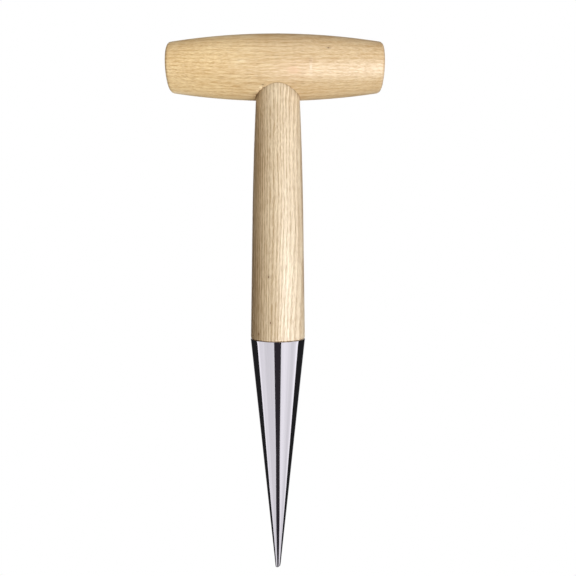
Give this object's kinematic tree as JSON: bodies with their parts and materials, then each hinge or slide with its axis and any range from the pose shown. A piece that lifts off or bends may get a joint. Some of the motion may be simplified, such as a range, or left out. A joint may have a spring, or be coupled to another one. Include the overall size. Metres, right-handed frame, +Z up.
{
  "type": "garden dibber",
  "caption": "T-handled hand dibber for making planting holes: turned wooden crossbar and stem, with a hollow polished steel cone that ends in a blunt solid nose.",
  "frame": {"origin": "lowest point of the nose, on the stem's axis, with the tool upright", "axes": "+Z up the stem from the nose to the crossbar, X along the crossbar, -Y towards the front, +Y towards the back, where the pin is"},
  "size_m": [0.1108, 0.033, 0.2803],
  "materials": {
    "crossbar_wood": "satin lacquered ash, grain along the bar",
    "stem_wood": "satin lacquered ash, grain along the stem",
    "cone_steel": "polished stainless sheet with fine drawing lines",
    "nose_steel": "polished stainless, ground flush with the cone",
    "screw_steel": "yellow zinc plated",
    "plug_wood": "satin lacquered ash, grain along the bar",
    "pin_steel": "plain stainless, lightly rubbed"
  },
  "bodies": {
    "root": {"crossbar": "crossbar_wood", "stem": "stem_wood", "cone": "cone_steel", "nose": "nose_steel", "handle_screw": "screw_steel", "screw_plug": "plug_wood", "cone_pin": "pin_steel"}
  },
  "joints": []
}
